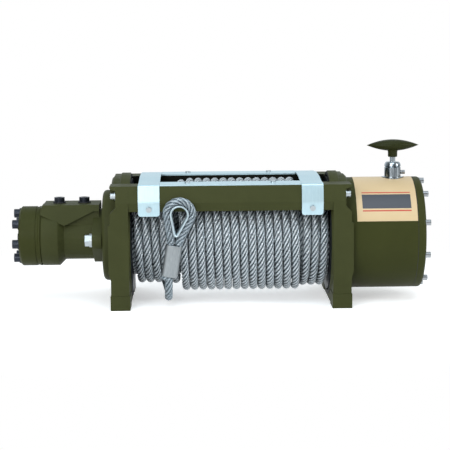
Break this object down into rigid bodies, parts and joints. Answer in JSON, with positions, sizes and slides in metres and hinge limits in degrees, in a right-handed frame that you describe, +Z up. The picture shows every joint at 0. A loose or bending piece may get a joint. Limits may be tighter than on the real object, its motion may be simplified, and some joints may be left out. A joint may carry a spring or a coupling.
{
  "type": "hydraulic winch",
  "caption": "Hydraulic recovery winch: spooled wire rope between two foot supports, orbit motor, planetary gear housing and a T-handle clutch.",
  "frame": {"origin": "middle of the four foot bolt holes, on the mounting surface under the feet", "axes": "+X along the drum towards the gear housing, -Y towards the front where the rope leaves, +Z up"},
  "size_m": [0.6118, 0.2026, 0.2365],
  "materials": {
    "olive_paint": "satin",
    "dark_olive_paint": "satin",
    "zinc": "satin",
    "steel": "satin",
    "drum_steel": "satin",
    "rope": "satin",
    "aluminium": "satin",
    "chrome": "gloss",
    "bronze": "satin",
    "black_steel": "satin",
    "rubber": "matte",
    "label_print": "matte"
  },
  "bodies": {
    "frame": {"motor_end_support": "olive_paint", "gear_end_support": "olive_paint", "front_tie_bar": "olive_paint", "rear_tie_bar": "olive_paint", "tie_bar_bolts": "zinc", "motor_side_strap": "zinc", "gear_side_strap": "zinc", "front_strip": "zinc", "rear_strip": "zinc", "guard_screws": "steel", "motor_housing": "olive_paint", "motor_wear_plate": "olive_paint", "orbit_ring": "olive_paint", "motor_end_cover": "olive_paint", "motor_cover_bolts": "black_steel", "port_plugs": "black_steel", "port_seals": "rubber", "motor_flange_bolts": "zinc", "gear_housing": "olive_paint", "output_ring_gear": "steel", "input_ring_gear": "steel", "gear_end_cover": "olive_paint", "gear_cover_gasket": "rubber", "gear_cover_screws": "zinc", "clutch_body": "chrome", "clutch_spring": "steel", "clutch_detent_screw": "steel", "label": "label_print", "motor_side_bush": "bronze", "gear_side_bush": "bronze", "motor_side_seal": "rubber", "gear_side_seal": "rubber", "shaft_end_bush": "bronze", "rope_tail": "rope", "ferrule": "aluminium", "rope_eye": "rope", "thimble": "zinc"},
    "drum_group": {"drum": "drum_steel", "rope_core": "rope", "rope_turns": "rope", "rope_end_turns": "rope", "rope_clamp_screw": "steel", "output_carrier": "steel", "output_planet_pins": "steel"},
    "input_carrier_group": {"input_carrier": "steel", "input_planet_pins": "steel"},
    "shaft_group": {"drive_shaft": "steel", "shaft_coupling": "steel"},
    "clutch_cap_group": {"clutch_cap": "chrome"},
    "clutch_handle_group": {"clutch_handle": "dark_olive_paint", "clutch_plunger": "chrome"},
    "output_planet_1_group": {"output_planet_1": "steel"},
    "input_planet_1_group": {"input_planet_1": "steel"},
    "output_planet_2_group": {"output_planet_2": "steel"},
    "input_planet_2_group": {"input_planet_2": "steel"},
    "output_planet_3_group": {"output_planet_3": "steel"},
    "input_planet_3_group": {"input_planet_3": "steel"}
  },
  "joints": [
    {"name": "drum_spin", "type": "hinge", "parent": "frame", "child": "drum_group", "pos_m": [0, 0, 0.0975], "axis": [1, 0, 0], "continuous": true},
    {"name": "input_carrier_spin", "type": "hinge", "parent": "frame", "child": "input_carrier_group", "pos_m": [0, 0, 0.0975], "axis": [1, 0, 0], "continuous": true},
    {"name": "shaft_spin", "type": "hinge", "parent": "frame", "child": "shaft_group", "pos_m": [0, 0, 0.0975], "axis": [1, 0, 0], "continuous": true},
    {"name": "output_planet_1_spin", "type": "hinge", "parent": "drum_group", "child": "output_planet_1_group", "pos_m": [0.201, 0.039, 0.0975], "axis": [1, 0, 0], "continuous": true},
    {"name": "input_planet_1_spin", "type": "hinge", "parent": "input_carrier_group", "child": "input_planet_1_group", "pos_m": [0.244, 0.039, 0.0975], "axis": [1, 0, 0], "continuous": true},
    {"name": "output_planet_2_spin", "type": "hinge", "parent": "drum_group", "child": "output_planet_2_group", "pos_m": [0.201, -0.0195, 0.13128], "axis": [1, 0, 0], "continuous": true},
    {"name": "input_planet_2_spin", "type": "hinge", "parent": "input_carrier_group", "child": "input_planet_2_group", "pos_m": [0.244, -0.0195, 0.13128], "axis": [1, 0, 0], "continuous": true},
    {"name": "output_planet_3_spin", "type": "hinge", "parent": "drum_group", "child": "output_planet_3_group", "pos_m": [0.201, -0.0195, 0.06373], "axis": [1, 0, 0], "continuous": true},
    {"name": "input_planet_3_spin", "type": "hinge", "parent": "input_carrier_group", "child": "input_planet_3_group", "pos_m": [0.244, -0.0195, 0.06373], "axis": [1, 0, 0], "continuous": true},
    {"name": "clutch_turn", "type": "hinge", "parent": "frame", "child": "clutch_cap_group", "pos_m": [0.244, 0, 0.1959], "axis": [0, 0, 1], "range_deg": [0, 90]},
    {"name": "clutch_lift", "type": "slide", "parent": "clutch_cap_group", "child": "clutch_handle_group", "axis": [0, 0, 1], "range_m": [0, 0.01], "stiffness_N_per_m": 800, "springref_m": -0.008, "deforming": ["clutch_spring"]}
  ],
  "couplings": [
    {"joint": "input_carrier_spin", "follows": "drum_spin", "ratio": 5.2},
    {"joint": "shaft_spin", "follows": "drum_spin", "ratio": 27.04},
    {"joint": "output_planet_1_spin", "follows": "drum_spin", "ratio": -2.625},
    {"joint": "input_planet_1_spin", "follows": "drum_spin", "ratio": -13.65},
    {"joint": "output_planet_2_spin", "follows": "drum_spin", "ratio": -2.625},
    {"joint": "input_planet_2_spin", "follows": "drum_spin", "ratio": -13.65},
    {"joint": "output_planet_3_spin", "follows": "drum_spin", "ratio": -2.625},
    {"joint": "input_planet_3_spin", "follows": "drum_spin", "ratio": -13.65}
  ]
}
